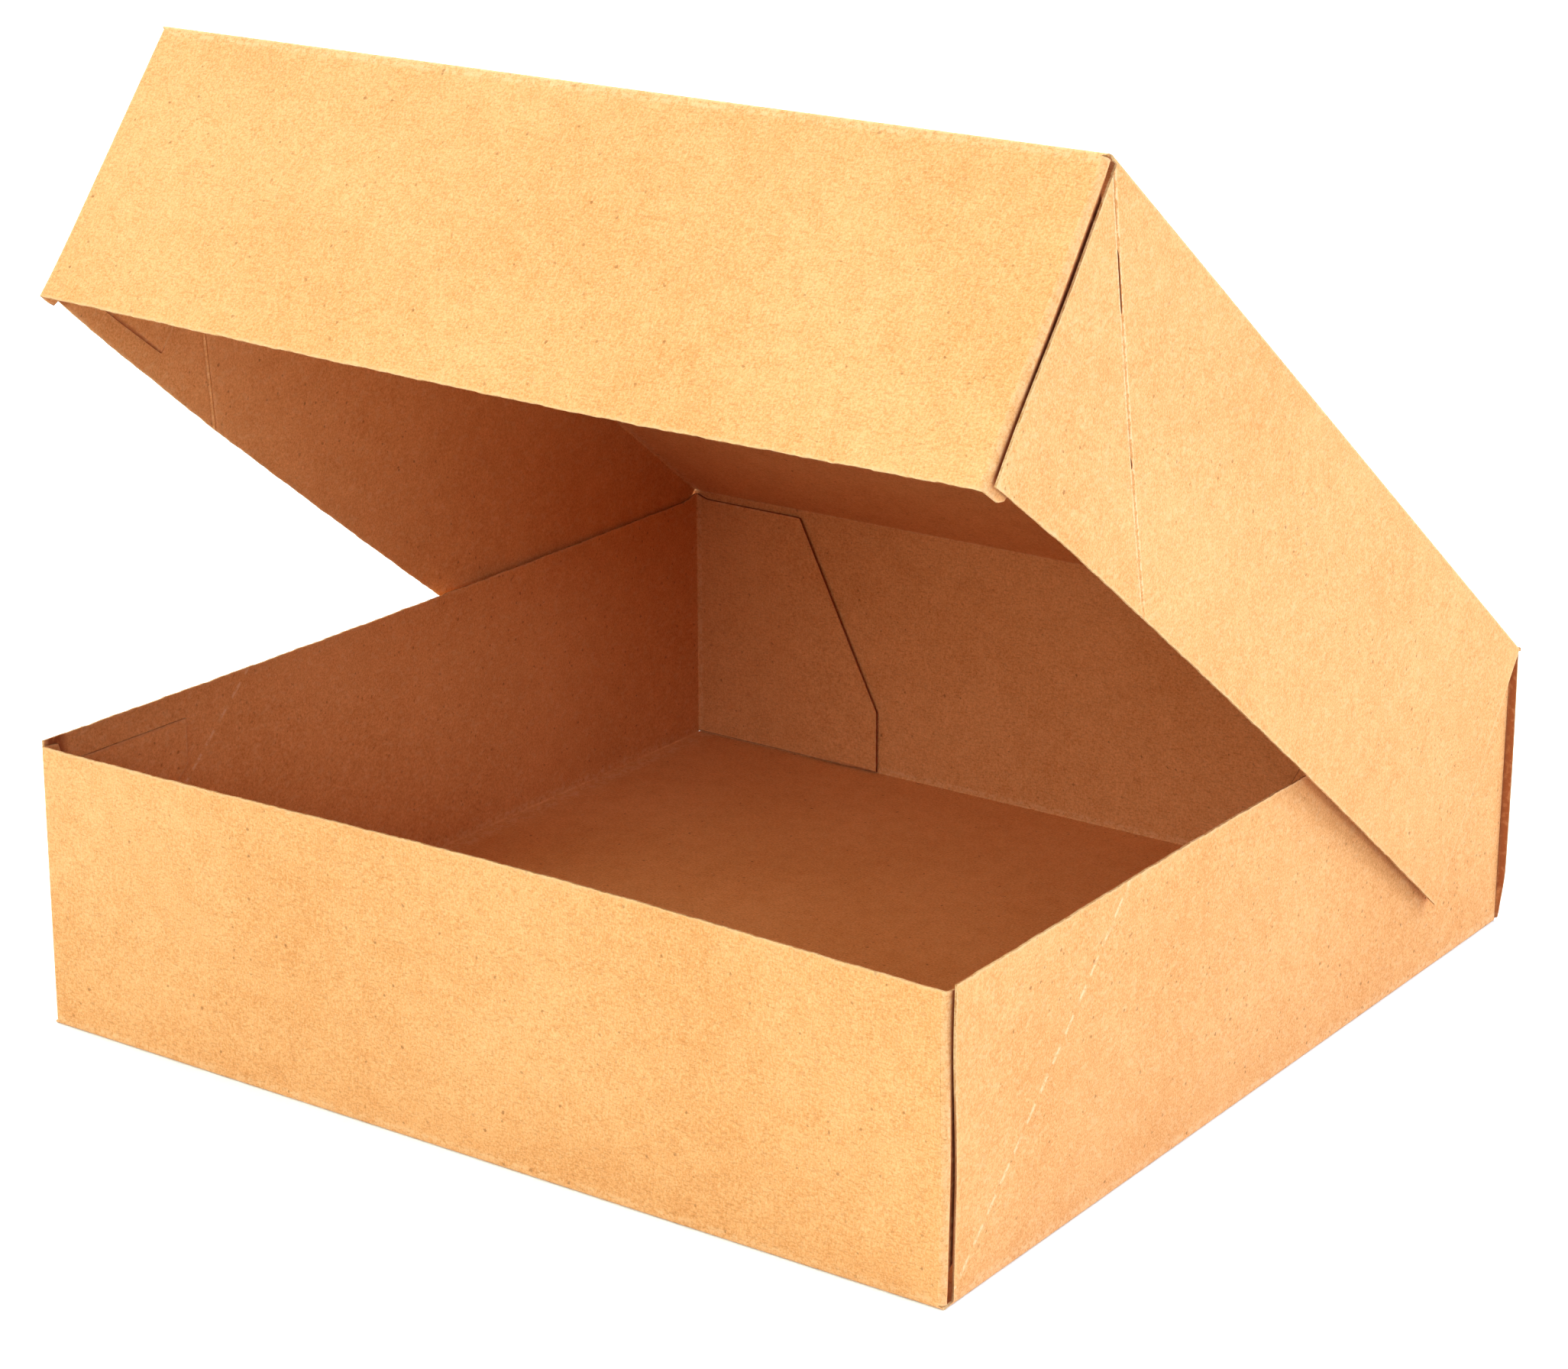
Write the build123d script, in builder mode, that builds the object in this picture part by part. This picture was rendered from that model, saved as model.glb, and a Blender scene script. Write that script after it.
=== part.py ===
"""Hinged-lid bakery box folded from kraft board, standing with its lid raised.

Millimetres, +Z up. The origin is the centre of the tray's underside, +X runs to the right
along the front wall and +Y runs back towards the hinge crease.

The tray and the lid are folded from one blank and meet at the crease along the top of the
back wall. The tray's front wall and the lid's front wall turn round their corners into
flaps that are glued inside the side panels. Each side panel has a weakened diagonal line
that lets the glued corner collapse, so the box is shipped flat and pops up.
"""

from build123d import *
import os

os.makedirs("parts", exist_ok=True)

# The board
board = 0.5
fold_radius = 0.9

# The tray, over its outer faces
tray_width = 229.0
tray_depth = 235.5
wall_height = 64.5
hinge_height = 66.5

# The lid, which closes over the tray
side_clearance = 0.9
front_clearance = 0.5
lid_drop = 64.2
lid_angle = 37.0

# Running gaps at the crease between the back wall and the lid
wall_crease_gap = 0.4
lid_crease_gap = 0.55

# The front walls' glued flaps
corner_stand_off = 0.6
lid_corner_stand_off = 0.25
glue_start = 12.0
gentle_bend = 60.0
raw_edge_inset = 0.3
tray_flap_length = 43.5
lid_flap_length = 38.6
flap_inset = 6.5
diagonal_margin = 4.0
corner_relief = 2.0
ear_length = 5.0
ear_rise = 1.5
ear_back = 2.0

# The side walls' flaps, glued to the inside of the back wall
rear_flap_top = 32.0
rear_flap_length = 56.0
rear_flap_knee = 17.0
rear_flap_clearance = 0.4
rear_relief = 1.0

# The diagonal lines of the pop-up corners
dash_length = 4.0
dash_pitch = 6.3
dash_width = 0.4
dash_depth = 0.2
dash_end_margin = 4.0
slit_length = 12.0
slit_width = 0.3
slit_starts = (3.0, 17.5, 46.0)
crease_width = 0.8
crease_depth = 0.12

# Worked out from the sizes above
half_width = tray_width / 2
front_y = -tray_depth / 2
back_y = tray_depth / 2
lid_half_width = half_width + side_clearance + board
hinge_y = back_y - board / 2
lid_top_z = hinge_height + board / 2
lid_low_z = lid_top_z - lid_drop
lid_front_y = front_y - front_clearance - board
lid_rear_y = hinge_y - lid_crease_gap
hinge_axis = Axis((0, hinge_y, hinge_height), (-1, 0, 0))
past = 2 * board


def board_section(*outside, radii=fold_radius):
    """Face between an outside line, bent at its corners, and the board's inner face."""
    with BuildLine() as section:
        FilletPolyline(*outside, radius=radii)
        offset(amount=board, side=Side.LEFT)
    make_face(section.edges())


def wrapped_front(half, face_y, flap_length, stand_off):
    """Plan of a front wall whose ends turn back into the two glued flaps."""
    glued = half - board
    folded = glued - stand_off
    board_section(
        (-glued, face_y + flap_length),
        (-glued, face_y + glue_start),
        (-folded, face_y),
        (folded, face_y),
        (glued, face_y + glue_start),
        (glued, face_y + flap_length),
        radii=(gentle_bend, fold_radius, fold_radius, gentle_bend),
    )


def front_flap_outline(free_z, fold_z, length, face_y):
    """Side view of a front wall and its flap, from the free edge to the folded one.

    The flap's long edge stands back from the free edge, a small ear rises beside the
    corner, and the far edge keeps clear of the diagonal line.
    """
    away = 1 if free_z > fold_z else -1
    wall_y = face_y + fold_radius + board
    with BuildLine() as outline:
        Polyline(
            (face_y - past, fold_z + away * corner_relief),
            (wall_y, fold_z + away * (wall_y - face_y + diagonal_margin)),
            (face_y + length, fold_z + away * (length + diagonal_margin)),
            (face_y + length, free_z - away * flap_inset),
            (face_y + ear_length + ear_back, free_z - away * flap_inset),
            (face_y + ear_length, free_z + away * ear_rise),
            (wall_y, free_z),
            (face_y - past, free_z),
            close=True,
        )
    make_face(outline.edges())


# Tray: the front wall with its two flaps
with BuildPart() as tray_front:
    with BuildSketch():
        wrapped_front(half_width, front_y, tray_flap_length, corner_stand_off)
    extrude(amount=wall_height + ear_rise)
    with BuildSketch(Plane.YZ):
        front_flap_outline(wall_height, 0, tray_flap_length, front_y)
    extrude(amount=half_width, both=True, mode=Mode.INTERSECT)

# Tray: the back end of each side wall, turned in and glued to the back wall
with BuildPart() as tray_rear:
    rear_start = back_y - board - rear_flap_length
    with BuildSketch():
        board_section(
            (half_width, rear_start),
            (half_width, back_y - board),
            (half_width - rear_flap_length, back_y - board),
        )
    extrude(amount=wall_height)
    with BuildSketch(Plane.XZ):
        with BuildLine():
            Polyline(
                (half_width + past, rear_relief),
                (half_width - fold_radius - board, board + rear_flap_clearance),
                (half_width - rear_flap_length, board + rear_flap_clearance),
                (half_width - rear_flap_length, rear_flap_knee),
                (half_width - rear_flap_top, wall_height),
                (half_width + past, wall_height),
                close=True,
            )
        make_face()
    extrude(amount=tray_depth, both=True, mode=Mode.INTERSECT)
    mirror(about=Plane.YZ)

with BuildPart() as tray:
    # Floor and side walls, one bend along each side
    side_rear_y = back_y - board - fold_radius
    side_front_y = front_y + raw_edge_inset
    with BuildSketch(Plane.XZ.offset(-side_rear_y)):
        board_section(
            (-half_width, wall_height),
            (-half_width, 0),
            (half_width, 0),
            (half_width, wall_height),
        )
    extrude(amount=side_rear_y - side_front_y)
    # Floor, front wall and back wall, one bend along each end
    flat_half = half_width - board - corner_stand_off - fold_radius
    with BuildSketch(Plane.YZ):
        board_section(
            (front_y, wall_height),
            (front_y, 0),
            (back_y, 0),
            (back_y, hinge_height - wall_crease_gap),
        )
    extrude(amount=flat_half, both=True)
    # The back wall is as wide as the lid, a little past the side walls
    with BuildSketch(Plane.XZ.offset(-back_y)):
        with Locations((0, hinge_height - wall_crease_gap)):
            Rectangle(
                2 * lid_half_width,
                hinge_height - wall_crease_gap - fold_radius,
                align=(Align.CENTER, Align.MAX),
            )
    extrude(amount=board)
    add(tray_front.part)
    add(tray_rear.part)
    # Broken cut line from each front bottom corner, at 45 degrees to the top edge
    diagonal = wall_height * 2**0.5
    dash_count = int((diagonal - 2 * dash_end_margin) / dash_pitch)
    for side in (-1, 1):
        diagonal_plane = Plane(
            origin=(side * half_width, front_y + wall_height / 2, wall_height / 2),
            x_dir=(0, 1, 1),
            z_dir=(side, 0, 0),
        )
        with BuildSketch(diagonal_plane):
            with GridLocations(dash_pitch, 1, dash_count, 1):
                Rectangle(dash_length, dash_width)
        extrude(amount=-dash_depth, mode=Mode.SUBTRACT)

# Lid, shut: the front wall with its two flaps
with BuildPart() as lid_front:
    with BuildSketch(Plane.XY.offset(lid_low_z - ear_rise)):
        wrapped_front(lid_half_width, lid_front_y, lid_flap_length, lid_corner_stand_off)
    extrude(amount=lid_drop + ear_rise)
    with BuildSketch(Plane.YZ):
        front_flap_outline(lid_low_z, lid_top_z, lid_flap_length, lid_front_y)
    extrude(amount=lid_half_width, both=True, mode=Mode.INTERSECT)

with BuildPart() as shut_lid:
    # Top and side panels, one bend along each side
    with BuildSketch(Plane.XZ.offset(-lid_rear_y)):
        board_section(
            (lid_half_width, lid_low_z),
            (lid_half_width, lid_top_z),
            (-lid_half_width, lid_top_z),
            (-lid_half_width, lid_low_z),
        )
    extrude(amount=lid_rear_y - lid_front_y - raw_edge_inset)
    # Top and front wall, one bend along the front
    lid_flat_half = lid_half_width - board - lid_corner_stand_off - fold_radius
    with BuildSketch(Plane.YZ):
        board_section(
            (lid_rear_y, lid_top_z),
            (lid_front_y, lid_top_z),
            (lid_front_y, lid_low_z),
        )
    extrude(amount=lid_flat_half, both=True)
    add(lid_front.part)
    # Diagonal line on each side panel: a pressed crease with slits cut through it
    for side in (-1, 1):
        diagonal_plane = Plane(
            origin=(side * lid_half_width, lid_front_y, lid_top_z),
            x_dir=(0, 1, -1),
            z_dir=(side, 0, 0),
        )
        with BuildSketch(diagonal_plane):
            with Locations((slit_starts[0], 0)):
                Rectangle(
                    (lid_drop + fold_radius) * 2**0.5,
                    crease_width,
                    align=(Align.MIN, Align.CENTER),
                )
        extrude(amount=-crease_depth, mode=Mode.SUBTRACT)
        with BuildSketch(diagonal_plane):
            with Locations(*((start, 0) for start in slit_starts)):
                Rectangle(slit_length, slit_width, align=(Align.MIN, Align.CENTER))
        extrude(amount=-board, mode=Mode.SUBTRACT)

# Lid, raised about the crease to the pose it stands in
with BuildPart() as lid:
    add(shut_lid.part.rotate(hinge_axis, lid_angle))

tray.part.label = "tray"
export_step(tray.part, "parts/tray.step")
lid.part.label = "lid"
export_step(lid.part, "parts/lid.step")
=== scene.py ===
"""Looks of a hinged-lid bakery box folded from kraft board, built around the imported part.

Sizes are in millimetres, in the part's own frame: +X to the right along the front wall, +Y
back to the lid's crease, +Z up from the table. They become metres where a mesh is made.
"""

import logging
import math
from dataclasses import dataclass, field, replace
from enum import Enum
from typing import Callable, Sequence

import bpy
import numpy as np
from mathutils import Matrix, Vector


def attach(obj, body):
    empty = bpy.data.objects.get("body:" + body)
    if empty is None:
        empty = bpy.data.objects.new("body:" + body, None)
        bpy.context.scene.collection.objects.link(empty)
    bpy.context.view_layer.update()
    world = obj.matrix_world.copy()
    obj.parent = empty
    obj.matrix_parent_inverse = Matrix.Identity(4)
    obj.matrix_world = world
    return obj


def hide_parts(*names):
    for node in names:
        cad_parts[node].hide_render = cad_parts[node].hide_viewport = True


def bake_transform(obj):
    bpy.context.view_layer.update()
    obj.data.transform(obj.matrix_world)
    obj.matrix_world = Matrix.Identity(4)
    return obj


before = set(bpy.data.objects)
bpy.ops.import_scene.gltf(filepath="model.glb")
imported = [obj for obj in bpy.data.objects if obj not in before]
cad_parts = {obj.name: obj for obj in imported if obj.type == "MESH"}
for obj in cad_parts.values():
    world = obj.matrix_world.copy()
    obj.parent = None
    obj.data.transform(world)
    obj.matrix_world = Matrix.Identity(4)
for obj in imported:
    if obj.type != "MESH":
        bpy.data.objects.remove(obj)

MM = 0.001
FAR_FROM_A_LINE = 99.0
log = logging.getLogger("bakery_box")

Warp = Callable[[np.ndarray], np.ndarray]
Numbers = np.ndarray | float
Colour = tuple[float, float, float, float]
Sides = tuple[bool, bool, bool, bool]
Finishes = Sequence[bpy.types.Material]


@dataclass(frozen=True)
class BoxSizes:
    """Sizes of the folded box, the same as in the part's source."""

    board: float = 0.5
    bend: float = 0.9
    tray_width: float = 229.0
    tray_depth: float = 235.5
    wall_height: float = 64.5
    hinge_height: float = 66.5
    side_clearance: float = 0.9
    front_clearance: float = 0.5
    lid_drop: float = 64.2
    lid_angle: float = 37.0
    wall_crease_gap: float = 0.4
    lid_crease_gap: float = 0.55
    glue_start: float = 12.0
    gentle_bend: float = 60.0
    tray_flap_length: float = 43.5
    lid_flap_length: float = 38.6
    flap_inset: float = 6.3
    diagonal_margin: float = 4.0
    rear_flap_top: float = 33.0
    rear_flap_length: float = 56.8
    rear_flap_knee: float = 17.0

    @property
    def half(self) -> float:
        """Half the tray's width, over its outer faces."""
        return self.tray_width / 2

    @property
    def front(self) -> float:
        """Y of the tray's front face."""
        return -self.tray_depth / 2

    @property
    def back(self) -> float:
        """Y of the tray's back face."""
        return self.tray_depth / 2

    @property
    def wall_top(self) -> float:
        """Height where the back wall ends and the crease starts."""
        return self.hinge_height - self.wall_crease_gap

    @property
    def lid_half(self) -> float:
        """Half the lid's width, over its outer faces."""
        return self.half + self.side_clearance + self.board

    @property
    def hinge_y(self) -> float:
        """Y of the crease's axis."""
        return self.back - self.board / 2

    @property
    def lid_top(self) -> float:
        """Height of the shut lid's outer face."""
        return self.hinge_height + self.board / 2

    @property
    def lid_low(self) -> float:
        """Height of the shut lid's free edges."""
        return self.lid_top - self.lid_drop

    @property
    def lid_front(self) -> float:
        """Y of the shut lid's front face."""
        return self.front - self.front_clearance - self.board

    @property
    def lid_rear(self) -> float:
        """Y of the shut lid's edge at the crease."""
        return self.hinge_y - self.lid_crease_gap


class Sweep(Enum):
    """Which way a flat section of board is carried; each value orders its axes."""

    ALONG_DEPTH = (0, 2, 1)
    ALONG_WIDTH = (2, 0, 1)
    UPWARD = (0, 1, 2)


class Side(Enum):
    """Left or right of the box, with the sign of X there."""

    LEFT = -1
    RIGHT = 1


def fade(value: np.ndarray, none: Numbers, full: Numbers) -> np.ndarray:
    """Smooth step, 3t^2 - 2t^3, where t runs from 0 at one limit to 1 at the other."""
    t = np.clip((value - none) / (full - none), 0, 1)
    return t * t * (3 - 2 * t)


def slot_shade(depth: np.ndarray, start: Numbers) -> np.ndarray:
    """Painted shade in an open slot, 0 to 1: from a start on, dying out 5 to 9 mm behind the
    front.
    """
    return fade(depth, start, start + 0.8) * fade(depth, 9, 5)


def hump(value: np.ndarray, peak: float, width: float) -> np.ndarray:
    """Bell curve, exp(-((v - peak) / width)^2)."""
    return np.exp(-(((value - peak) / width) ** 2))


def arch(share: np.ndarray, power: float) -> np.ndarray:
    """Half a sine wave to a power, 0 at both ends of an edge and 1 in its middle."""
    return np.sin(np.pi * np.clip(share, 0, 1)) ** power


def ragged(place: np.ndarray, start: Numbers) -> np.ndarray:
    """Uneven cut along an edge: four sines of unequal wavelengths, from about -1 to 1."""
    waves = ((3.1, 0.35), (5.3, 0.3), (8.9, 0.35), (19.0, 0.45))
    return sum(
        size * np.sin(2 * np.pi * place / length + start * (1 + k))
        for k, (length, size) in enumerate(waves)
    )


def edged(count: int, length: float) -> np.ndarray:
    """Even stations from 0 to 1, and one more 0.3 mm from each end of the given length."""
    close = 0.3 / length
    return np.unique(np.concatenate([np.linspace(0, 1, count), [close, 1 - close]]))


def spaced(start: float, stop: float, step: float, extra: Sequence[float]) -> np.ndarray:
    """Even stations from start to stop, with the extra places between them added."""
    count = max(2, math.ceil((stop - start) / step) + 1)
    kept = [x for x in extra if start < x < stop]
    places = np.unique(np.round(np.concatenate([np.linspace(start, stop, count), kept]), 3))
    return places[np.concatenate([[True], np.diff(places) > 0.01])]


@dataclass(frozen=True)
class FrontCorner:
    """How one end of a front wall turns in behind the side wall's cut edge.

    Attributes:
        bend: Outer radius of the front wall's bend.
        slot: Width of the open slot between the turned flap and the side wall.
        inset: How far the side wall's cut edge stands back from the front wall's face.
        proud: How much nearer its fold the front wall's free edge lies than the side wall's.
        spread: How much further out the front wall reaches near its fold.
        ear: Length of the ear that the flap keeps at the free edge.
    """

    bend: float
    slot: float
    inset: float
    proud: float
    spread: float
    ear: float

    def spread_at(self, share: np.ndarray) -> np.ndarray:
        """Spread at a share of the wall's height from its fold: full up to 0.34, none at 0.9."""
        return self.spread * fade(share, 0.9, 0.34)

    def cut_back(self, share: np.ndarray) -> np.ndarray:
        """Inset of the side wall's cut edge at a share of the height, opened by the spread."""
        return self.inset + 1.85 * self.spread_at(share)


@dataclass(frozen=True)
class Bow:
    """How the middle of a free edge has moved: its size times a bell curve along the edge."""

    size: float
    peak: float
    width: float

    def at(self, share: np.ndarray) -> np.ndarray:
        """Distance moved at a share of the edge's length."""
        return self.size * hump(share, self.peak, self.width)


@dataclass(frozen=True)
class Section:
    """A line across the board: both of its faces, the length along it and where it is bent."""

    outside: np.ndarray
    inside: np.ndarray
    along: np.ndarray
    fold: np.ndarray


@dataclass
class Shell:
    """One closed sheet of board, as a grid of points on each of its faces.

    Attributes:
        outside: Rows x columns x 3 points of the face that shows outside.
        inside: The same points on the other face, one board further in.
        blank: Rows x columns x 2 place of each point on the flat sheet.
        fold: 0 to 1, how strongly the fibres are bent there.
        free: Which of first row, last row, first column and last column are cut edges.
        score: Rows x columns x 2, length along a pressed diagonal line and distance off it.
        glue: 0 to 1, painted shade on the outside and on the inside, standing in
        for the shadow in slots, slits and gaps.
    """

    outside: np.ndarray
    inside: np.ndarray
    blank: np.ndarray
    fold: np.ndarray
    free: Sides
    score: np.ndarray | None = None
    glue: tuple[Numbers, Numbers] = (0.0, 0.0)

    def rim(self) -> np.ndarray:
        """1 beside the cut edges, fading out 0.08 to 0.28 mm from them."""
        return fade(self.margin(), 0.28, 0.08)

    def margin(self) -> np.ndarray:
        """Distance of each point to the nearest cut edge, along the grid's own lines."""
        nearest = np.full(self.outside.shape[:2], FAR_FROM_A_LINE)
        for axis in (0, 1):
            steps = np.linalg.norm(np.diff(self.outside, axis=axis), axis=2)
            start = np.zeros_like(np.take(steps, [0], axis=axis))
            run = np.concatenate([start, np.cumsum(steps, axis=axis)], axis=axis)
            if self.free[2 * axis]:
                nearest = np.minimum(nearest, run)
            if self.free[2 * axis + 1]:
                nearest = np.minimum(nearest, np.take(run, [-1], axis=axis) - run)
        return nearest

    def move(self, axis: int, distance: np.ndarray) -> None:
        """Moves both faces along an axis by a distance for each point of the grid."""
        self.outside[..., axis] += distance
        self.inside[..., axis] += distance

    def mirrored(self) -> "Shell":
        """The same sheet on the other side of the box, with X turned about."""
        turn = np.array([-1.0, 1.0, 1.0])
        return replace(self, outside=self.outside * turn, inside=self.inside * turn)

    def reversed_rows(self) -> "Shell":
        """The same sheet with its rows in the other order, which turns its faces round."""
        first, last, *columns = self.free
        return Shell(
            self.outside[::-1],
            self.inside[::-1],
            self.blank[::-1],
            self.fold[::-1],
            (last, first, *columns),
            None if self.score is None else self.score[::-1],
            tuple(np.broadcast_to(g, self.fold.shape)[::-1] for g in self.glue),
        )


def folded_section(
    corners: Sequence[tuple[float, float]],
    radii: Sequence[float],
    board: float,
    steps: Sequence[float],
) -> Section:
    """Section of board bent at each inner corner, with its inside on the left.

    Each corner becomes an arc of the given outer radius, tangent to both straight runs: it
    starts r * tan(turn / 2) before the corner. The inside is the outside moved one board
    thickness along the left-hand normal, so a bend's two faces share one centre.

    Args:
        corners: Corner points of the outside line.
        radii: Outer radius of each inner corner.
        board: Thickness of the board.
        steps: Largest distance between points on each straight run.

    Returns:
        The section, with its fold value 1 in the middle of each tight bend.
    """
    fold_width, tight = 1.1, 5.0
    points = [np.array(c, float) for c in corners]
    runs, normals, middles = [], [], []
    here = points[0]
    for before, corner, after, radius, step in zip(points, points[1:], points[2:], radii, steps):
        heading = (corner - before) / np.linalg.norm(corner - before)
        leaving = (after - corner) / np.linalg.norm(after - corner)
        turn = math.atan2(heading[0] * leaving[1] - heading[1] * leaving[0], heading @ leaving)
        reach = radius * math.tan(abs(turn) / 2)
        tangent = corner - heading * reach
        left = np.array([-heading[1], heading[0]])
        count = max(2, math.ceil(np.linalg.norm(tangent - here) / step) + 1)
        runs.append(here + (tangent - here) * np.linspace(0, 1, count)[:-1, None])
        normals.append(np.repeat(left[None], count - 1, 0))
        angles = turn * np.linspace(0, 1, 9)
        centre = tangent + left * radius * np.sign(turn)
        cos, sin = np.cos(angles), np.sin(angles)
        spoke = tangent - centre
        arc = np.stack([cos * spoke[0] - sin * spoke[1], sin * spoke[0] + cos * spoke[1]], 1)
        turned = np.stack([cos * left[0] - sin * left[1], sin * left[0] + cos * left[1]], 1)
        runs.append((centre + arc)[:-1])
        normals.append(turned[:-1])
        if radius < tight:
            middles.append(centre + arc[4])
        here = corner + leaving * reach
    length = np.linalg.norm(points[-1] - here)
    heading = (points[-1] - points[-2]) / np.linalg.norm(points[-1] - points[-2])
    places = np.linspace(0, 1, max(2, math.ceil(length / steps[-1]) + 1))
    places = np.insert(places, -1, 1 - 0.3 / max(length, 0.75))
    runs.append(here + (points[-1] - here) * places[:, None])
    normals.append(np.repeat(np.array([[-heading[1], heading[0]]]), len(places), 0))
    outside = np.concatenate(runs)
    along = np.concatenate([[0], np.cumsum(np.linalg.norm(np.diff(outside, axis=0), axis=1))])
    fold = np.zeros(len(outside))
    for middle in middles:
        fold = np.maximum(fold, hump(np.linalg.norm(outside - middle, axis=1), 0, fold_width))
    return Section(outside, outside + np.concatenate(normals) * board, along, fold)


def swept_shell(
    section: Section,
    sweep: Sweep,
    low: Numbers,
    high: Numbers,
    stations: np.ndarray,
    free: Sides,
) -> Shell:
    """Board made by carrying a section, between two ends that may change along it.

    Point (i, j) is the section's point i, carried to low_i + (high_i - low_i) * station_j.

    Args:
        section: The section that is carried.
        sweep: The way it is carried.
        low: Where the sheet starts, for each point of the section.
        high: Where the sheet ends, for each point of the section.
        stations: Places between the ends, from 0 to 1.
        free: Which sides are cut edges, as in Shell.

    Returns:
        The closed sheet.
    """
    count = len(section.along)
    start, stop = (np.broadcast_to(np.asarray(v, float), (count,))[:, None] for v in (low, high))
    carried = start + (stop - start) * stations[None, :]
    shape = carried.shape
    faces = [
        np.stack([*(np.broadcast_to(line[:, k : k + 1], shape) for k in (0, 1)), carried], -1)
        for line in (section.outside, section.inside)
    ]
    outside, inside = (face[..., list(sweep.value)] for face in faces)
    blank = np.stack([np.broadcast_to(section.along[:, None], shape), carried], -1)
    return Shell(outside, inside, blank, np.broadcast_to(section.fold[:, None], shape), free)


class BoardPiece:
    """A piece of the box: closed sheets of board gathered into one mesh."""

    FACE, EDGE = 0, 1

    def __init__(self, name: str, shells: Sequence[Shell]) -> None:
        """Keeps the name of the object it becomes and its sheets."""
        self.name = name
        self.shells = shells

    def build(self, warp: Warp, finishes: Finishes) -> bpy.types.Object:
        """Makes the mesh, its maps and its materials, and tells the log.

        Args:
            warp: Moves the points to where the used board has settled.
            finishes: Material of the board's faces and of its cut edges.

        Returns:
            The new object, linked to the scene, at the origin.
        """
        parts = [self._sheet(shell) for shell in self.shells]
        starts = np.cumsum([0] + [len(p["points"]) for p in parts])
        quads = np.concatenate([p.pop("quads") + start for p, start in zip(parts, starts)])
        gathered = {key: np.concatenate([p[key] for p in parts]) for key in parts[0]}
        points = warp(gathered["points"]) * MM
        mesh = bpy.data.meshes.new(self.name)
        mesh.vertices.add(len(points))
        mesh.vertices.foreach_set("co", points.astype(np.float32).ravel())
        mesh.loops.add(quads.size)
        mesh.loops.foreach_set("vertex_index", quads.astype(np.int32).ravel())
        mesh.polygons.add(len(quads))
        mesh.polygons.foreach_set("loop_start", np.arange(0, quads.size, 4, dtype=np.int32))
        for finish in finishes:
            mesh.materials.append(finish)
        mesh.polygons.foreach_set("material_index", gathered["edge"].astype(np.int32))
        mesh.update(calc_edges=True)
        for kind in ("fold", "margin", "glue", "inner"):
            layer = mesh.attributes.new(kind, "FLOAT", "POINT")
            layer.data.foreach_set("value", gathered[kind].astype(np.float32))
        for kind in ("blank", "score"):
            layer = mesh.uv_layers.new(name=kind)
            values = gathered[kind][quads.ravel()]
            layer.data.foreach_set("uv", values.astype(np.float32).ravel())
        mesh.polygons.foreach_set("use_smooth", np.ones(len(quads), bool))
        mesh.set_sharp_from_angle(angle=math.radians(38))
        mesh.validate()
        made = bpy.data.objects.new(self.name, mesh)
        bpy.context.scene.collection.objects.link(made)
        log.info("%s: %d faces", made.name, len(quads))
        return made

    @staticmethod
    def _sheet(shell: Shell) -> dict[str, np.ndarray]:
        """Turns a grid on each face into one closed shell whose faces point outwards.

        Args:
            shell: The sheet of board.

        Returns:
            Its points, quads and values for each point, and which quads are cut edges.
        """
        outside, inside = shell.outside, shell.inside
        rows, columns = outside.shape[:2]
        down, across = np.diff(outside, axis=0)[:, :-1], np.diff(outside, axis=1)[:-1]
        if (np.cross(down, across, axis=2) * (outside - inside)[:-1, :-1]).sum() < 0:
            return BoardPiece._sheet(shell.reversed_rows())
        shift = rows * columns
        index = np.arange(shift).reshape(rows, columns)
        a, b = index[:-1, :-1].ravel(), index[1:, :-1].ravel()
        c, d = index[1:, 1:].ravel(), index[:-1, 1:].ravel()
        loop = np.concatenate([index[:, 0], index[-1, 1:], index[-2::-1, -1], index[0, -2:0:-1]])
        after = np.roll(loop, -1)
        rim = np.stack([loop + shift, after + shift, after, loop], 1)
        score = shell.score
        if score is None:
            score = np.full(shell.blank.shape, FAR_FROM_A_LINE)
        glue = [np.broadcast_to(g, shell.fold.shape).ravel() for g in shell.glue]
        quads = [np.stack([a, b, c, d], 1), np.stack([a, d, c, b], 1) + shift, rim]
        kinds = [BoardPiece.FACE, BoardPiece.EDGE]
        return {
            "points": np.concatenate([outside.reshape(-1, 3), inside.reshape(-1, 3)]),
            "quads": np.concatenate(quads),
            "edge": np.repeat(kinds, [2 * len(a), len(rim)]),
            "blank": np.tile(shell.blank.reshape(-1, 2), (2, 1)),
            "score": np.tile(score.reshape(-1, 2), (2, 1)),
            "fold": np.tile(shell.fold.ravel(), 2),
            "margin": np.tile(shell.margin().ravel(), 2),
            "glue": np.concatenate(glue),
            "inner": np.repeat([0.0, 1.0], shift),
        }


@dataclass(frozen=True)
class CornerShifts:
    """How far each corner of a box-shaped region has moved, blended evenly between them.

    A point's shift is the sum over the eight corners of shift * (share across) * (share
    along) * (share up), where a share runs from 0 at the far side to 1 at the corner.

    Attributes:
        low: Lowest corner of the region.
        high: Highest corner of the region.
        shifts: Shift of each corner, keyed by which end it is at in X, Y and Z.
        rise: Power of the height share, over 1 where a wall leans most near its top.
    """

    low: tuple[float, float, float]
    high: tuple[float, float, float]
    shifts: dict[tuple[int, int, int], tuple[float, float, float]]
    rise: float = 1.0

    def at(self, points: np.ndarray) -> np.ndarray:
        """Shift of each of N x 3 points."""
        low, high = np.array(self.low), np.array(self.high)
        share = np.clip((points - low) / (high - low), 0, 1)
        share[:, 2] = share[:, 2] ** self.rise
        total = np.zeros_like(points)
        for corner, shift in self.shifts.items():
            weight = np.where(np.array(corner) == 1, share, 1 - share).prod(axis=1)
            total += weight[:, None] * np.array(shift)
        return total


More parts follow.
